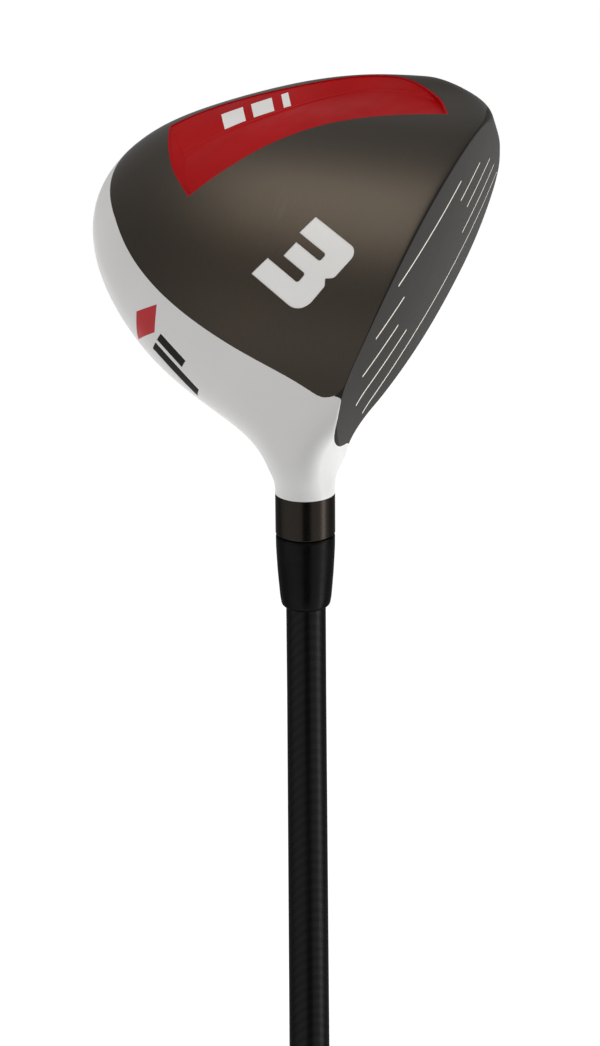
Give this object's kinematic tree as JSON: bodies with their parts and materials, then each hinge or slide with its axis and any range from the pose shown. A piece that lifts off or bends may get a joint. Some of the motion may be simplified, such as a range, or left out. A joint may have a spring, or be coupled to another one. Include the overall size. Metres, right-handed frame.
{
  "type": "fairway wood golf club",
  "caption": "Right-handed fairway wood: hollow steel head with a grooved face, white crown, grey sole with a red channel, black ferrule, tapered graphite shaft and rubber grip.",
  "frame": {"origin": "centre of the vent hole's mouth in the butt end face of the grip", "axes": "+Z along the shaft axis from the grip to the head, +X towards the toe side of the head, -Y towards the target (the way the face looks)"},
  "size_m": [0.1022, 0.0892, 1.1277],
  "materials": {
    "crown_paint": "satin white paint",
    "sole_finish": "satin gunmetal",
    "face_finish": "matt dark grey",
    "score_fill": "white paint fill",
    "channel_red": "semi-gloss red",
    "mark_white": "white paint",
    "mark_red": "red paint",
    "mark_black": "black paint",
    "collar_metal": "dark brushed steel",
    "bare_steel": "unfinished steel",
    "hot_melt": "amber hot-melt glue",
    "epoxy": "cured epoxy",
    "weight_brass": "turned brass",
    "plug_foam": "foam",
    "ferrule_black": "polished black",
    "shaft_black": "satin black lacquer over graphite",
    "grip_tape": "paper-backed tape",
    "grip_rubber": "matt rubber"
  },
  "bodies": {
    "root": {"crown_shell": "crown_paint", "sole_plate": "sole_finish", "face_plate": "face_finish", "score_paint": "score_fill", "channel_inlay": "channel_red", "channel_bars": "mark_white", "sole_number": "mark_white", "skirt_diamond": "mark_red", "skirt_bars": "mark_black", "hosel_collar": "collar_metal", "bore_tube": "bare_steel", "weight_pad": "bare_steel", "weld_bead": "bare_steel", "glue_pad": "hot_melt", "bond_sleeve": "epoxy", "tip_weight": "weight_brass", "tip_plug": "plug_foam", "ferrule": "ferrule_black", "shaft": "shaft_black", "grip_tape": "grip_tape", "grip_sleeve": "grip_rubber", "grip_cap": "grip_rubber"}
  },
  "joints": []
}
